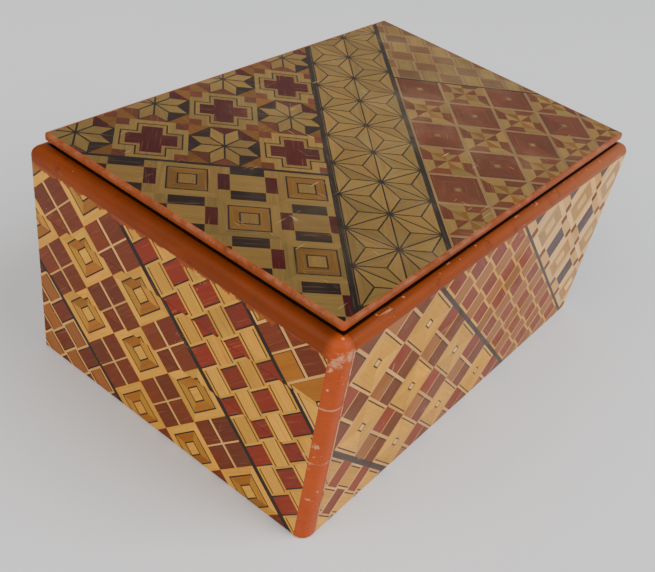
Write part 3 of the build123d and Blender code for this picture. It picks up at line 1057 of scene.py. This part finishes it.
def place_sheet(name, node, body, face, rounds, layout, lift=0.0, notches=()):
    """Builds the marquetry sheet that stands for a veneer node, as a closed mesh, and hands it to its body.
    rounds gives the radius of its left, right, lower and upper edges."""
    seed = bpy.context.scene.puzzle_box.seed
    colours = bpy.context.scene.puzzle_box_colours
    woods = [tuple(getattr(colours, wood)) for wood in WOODS]
    material = finish_named("lacquered_marquetry")
    outline = sheet_outline(face, node, rounds)
    spots, pieces = cut_tiles(outline, notches, layout, seed, material, lift)
    mesh, tiles, corners = sheet_mesh(name, face, outline, rounds, spots, pieces)
    mesh.attributes.new("tone", "FLOAT_COLOR", "CORNER")
    mesh.uv_layers.new(name="grain")
    tone, grain_map = mesh.attributes["tone"], mesh.uv_layers["grain"]
    looks = {tile: tile_look(tile, woods, f"{seed} {name} {tile[3]} {tile[2]:.5f}") for tile in tiles}
    for polygon, tile in zip(mesh.polygons, tiles):
        shown, shift, angle = looks[tile]
        c, s = math.cos(angle), math.sin(angle)
        for loop in polygon.loop_indices:
            a, b, depth = corners[mesh.loops[loop].vertex_index]
            u, v = (a + b) / ROOT2 * MM, (b - a) / ROOT2 * MM
            tone.data[loop].color = shown
            grain_map.data[loop].uv = (u * c + v * s + shift[0], v * c - u * s + shift[1] + depth * MM)
    mesh.materials.append(material)
    mesh.validate()
    sheet = new_object(name, mesh)
    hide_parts(node)
    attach(sheet, body)


# Finishes on the CAD nodes

# Which axes cross the grain
ALONG_X = (0, 1, 1)
ALONG_Y = (1, 0, 1)

NODE_FINISHES = {
    "stained_x": ("front_wall", "back_wall", "lid_board"),
    "stained_y": ("upper_strip", "middle_strip", "lower_strip", "far_end_board"),
    "softwood_x": ("base_board", "front_runner", "back_runner", "lock_arm"),
    "softwood_y": ("key_wall", "upper_cleat", "middle_cleat", "lower_cleat", "lid_key", "lock_nose"),
    "bamboo": ("front_wall_nails", "back_wall_nails", "lid_stop_pins", "middle_strip_pegs", "runner_nails")
    + ("upper_cleat_nails", "middle_cleat_nails", "lower_cleat_nails"),
}


def finish_named(name):
    """The material of that name, made the first time it is asked for."""
    colours = bpy.context.scene.puzzle_box_colours
    makers = {
        "lacquered_marquetry": (marquetry_finish,),
        "stained_x": (stained_finish, ALONG_X),
        "stained_y": (stained_finish, ALONG_Y),
        "softwood_x": (plain_finish, colours.softwood, ALONG_X, 2400),
        "softwood_y": (plain_finish, colours.softwood, ALONG_Y, 2400),
        "bamboo": (plain_finish, colours.bamboo, ALONG_Y, 5200),
        "floor": (floor_finish,),
    }
    maker, *settings = makers[name]
    return bpy.data.materials.get(name) or maker(name, colours, *settings)


# Operators

END = Face((-76, 52, 0), (0, -1, 0), (0, 0, 1))
FRONT = Face((-76, -52, 0), (1, 0, 0), (0, 0, 1))
BACK = Face((76, 52, 0), (-1, 0, 0), (0, 0, 1))
FAR_END = Face((76, -52, 0), (0, 1, 0), (0, 0, 1))
LID = Face((-73.2, -49.2, 72), (1, 0, 0), (0, 1, 0))

# Where the lid's runners pass through the far end's sheet: the web of each, then its tongue
RUNNER_NOTCHES = (
    (3.8, 7.0, 62.0, 70.0),
    (2.2, 4.3, 62.0, 64.6),
    (97.0, 100.2, 62.0, 70.0),
    (99.7, 101.8, 62.0, 64.6),
)

# The camera: where it is, its two directions and the shift of its picture. Then each lamp: where it is, its
# size and its colour. Lamps aim at the middle of the box.
CAMERA_PLACE = (-0.1984, -0.1246, 0.1914)
CAMERA_RIGHT = (0.5925, -0.7850, 0.1810)
CAMERA_AHEAD = (0.6715, 0.3571, -0.6493)
CAMERA_SHIFT = (-0.074, 0.101)
LAMPS = {
    "key": ((0.7, -1.5, 1.5), 1.6, (0.94, 0.97, 1.0)),
    "fill": ((-1.2, 0.3, 0.9), 1.2, (1.0, 0.96, 0.90)),
}
LAMP_AIM = (0, 0, 0.03)
SKY_COLOUR = (0.93, 0.96, 1.0, 1.0)
FLOOR_REACH = 3.0


def side_sizes(context):
    """The radii of the corners and the foot, and the width of a fine line, in millimetres."""
    sizes = context.scene.puzzle_box
    return sizes.corner_round / MM, sizes.foot_round / MM, sizes.fine_line / MM


class PUZZLE_OT_long_sides(Operator):
    """Lay the marquetry of the two long walls"""

    bl_idname = "puzzle_box.long_sides"
    bl_label = "Long side marquetry"

    def execute(self, context):
        corner, foot, line = side_sizes(context)
        rounds = (0, corner, foot, 0)
        place_sheet("front_marquetry", "front_veneer", "case", FRONT, rounds, side_layout(line))
        rounds = (corner, 0, foot, 0)
        place_sheet("back_marquetry", "back_veneer", "case", BACK, rounds, side_layout(line, shift=6.0))
        return {"FINISHED"}


class PUZZLE_OT_far_end(Operator):
    """Lay the marquetry of the far end, with its notches for the lid's runners"""

    bl_idname = "puzzle_box.far_end"
    bl_label = "Far end marquetry"

    def execute(self, context):
        corner, foot, line = side_sizes(context)
        names = ("far_end_marquetry", "far_end_veneer", "case")
        rounds = (corner, corner, foot, 0)
        place_sheet(*names, FAR_END, rounds, end_layout(line, shift=4.0), 0.0, RUNNER_NOTCHES)
        return {"FINISHED"}


class PUZZLE_OT_strips(Operator):
    """Lay the marquetry of the three end strips, sawn from one sheet"""

    bl_idname = "puzzle_box.strips"
    bl_label = "End strip marquetry"

    def execute(self, context):
        corner, foot, line = side_sizes(context)
        layout = end_layout(line)
        for number, strip in enumerate(("lower", "middle", "upper")):
            rounds = (corner, 0, 0 if number else foot, 0)
            lift = number * context.scene.puzzle_box.saw_cut / MM
            names = (f"{strip}_strip_marquetry", f"{strip}_strip_veneer", f"{strip}_slider")
            place_sheet(*names, END, rounds, layout, lift)
        return {"FINISHED"}


class PUZZLE_OT_lid(Operator):
    """Lay the marquetry of the lid"""

    bl_idname = "puzzle_box.lid"
    bl_label = "Lid marquetry"

    def execute(self, context):
        sizes = context.scene.puzzle_box
        layout = lid_layout(sizes.lid_line / MM, sizes.leaf_line / MM)
        place_sheet("lid_marquetry", "lid_veneer", "lid", LID, (0, 0, 0, 0), layout)
        return {"FINISHED"}


class PUZZLE_OT_woods(Operator):
    """Give the boards, runners, cleats, lock and nails their woods"""

    bl_idname = "puzzle_box.woods"
    bl_label = "Board finishes"

    def execute(self, context):
        for finish, nodes in NODE_FINISHES.items():
            for node in nodes:
                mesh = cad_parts[node].data
                mesh.materials.clear()
                mesh.materials.append(finish_named(finish))
        return {"FINISHED"}


class PUZZLE_OT_stage(Operator):
    """Set the floor, lights and camera"""

    bl_idname = "puzzle_box.stage"
    bl_label = "Stage"

    def execute(self, context):
        settings = context.scene.puzzle_box_stage
        self.floor()
        self.sky(context, settings.sky)
        self.lamp("key", settings.key_power)
        self.lamp("fill", settings.fill_power)
        self.camera(context, settings.lens)
        return {"FINISHED"}

    def floor(self):
        mesh = bpy.data.meshes.new("floor")
        corners = [(a * FLOOR_REACH, b * FLOOR_REACH, 0) for a, b in ((-1, -1), (1, -1), (1, 1), (-1, 1))]
        mesh.from_pydata(corners, [], [(0, 1, 2, 3)])
        mesh.materials.append(finish_named("floor"))
        floor = new_object("floor", mesh)

    def sky(self, context, strength):
        world = bpy.data.worlds.new("sky")
        world.use_nodes = True
        background = world.node_tree.nodes["Background"]
        background.inputs["Color"].default_value = SKY_COLOUR
        background.inputs["Strength"].default_value = strength
        context.scene.world = world

    def lamp(self, name, power):
        place, size, tint = LAMPS[name]
        lamp = bpy.data.lights.new(name, "AREA")
        lamp.energy = power
        lamp.size = size
        lamp.color = tint
        made = new_object(name, lamp)
        made.location = place
        made.rotation_euler = (Vector(LAMP_AIM) - made.location).to_track_quat("-Z", "Y").to_euler()

    def camera(self, context, lens):
        data = bpy.data.cameras.new("camera")
        data.lens = lens
        data.sensor_width = 36.0
        data.shift_x, data.shift_y = CAMERA_SHIFT
        right = Vector(CAMERA_RIGHT).normalized()
        ahead = Vector(CAMERA_AHEAD).normalized()
        up = right.cross(ahead).normalized()
        turn = Matrix((ahead.cross(up), up, -ahead)).transposed().to_4x4()
        context.scene.camera = new_object("camera", data)
        context.scene.camera.matrix_world = Matrix.Translation(CAMERA_PLACE) @ turn


class PUZZLE_PT_panel(Panel):
    """The steps that build the box's looks"""

    bl_idname = "PUZZLE_PT_panel"
    bl_label = "Puzzle Box"
    bl_space_type = "VIEW_3D"
    bl_region_type = "UI"
    bl_category = "Puzzle Box"

    def draw(self, context):
        for operator in OPERATORS:
            self.layout.operator(operator.bl_idname)
        for group in (context.scene.puzzle_box, context.scene.puzzle_box_stage):
            for name in group.__annotations__:
                self.layout.prop(group, name)


OPERATORS = (
    PUZZLE_OT_woods,
    PUZZLE_OT_long_sides,
    PUZZLE_OT_far_end,
    PUZZLE_OT_strips,
    PUZZLE_OT_lid,
    PUZZLE_OT_stage,
)
SETTINGS = {
    "puzzle_box": PuzzleBoxSizes,
    "puzzle_box_colours": PuzzleBoxColours,
    "puzzle_box_stage": PuzzleBoxStage,
}
CLASSES = (*SETTINGS.values(), *OPERATORS, PUZZLE_PT_panel)


def register():
    for made in CLASSES:
        bpy.utils.register_class(made)
    for name, group in SETTINGS.items():
        setattr(bpy.types.Scene, name, PointerProperty(type=group))


def unregister():
    for made in reversed(CLASSES):
        bpy.utils.unregister_class(made)
    for name in SETTINGS:
        delattr(bpy.types.Scene, name)


def main():
    register()
    for operator in OPERATORS:
        family, name = operator.bl_idname.split(".")
        getattr(getattr(bpy.ops, family), name)()


if __name__ == "__main__":
    main()
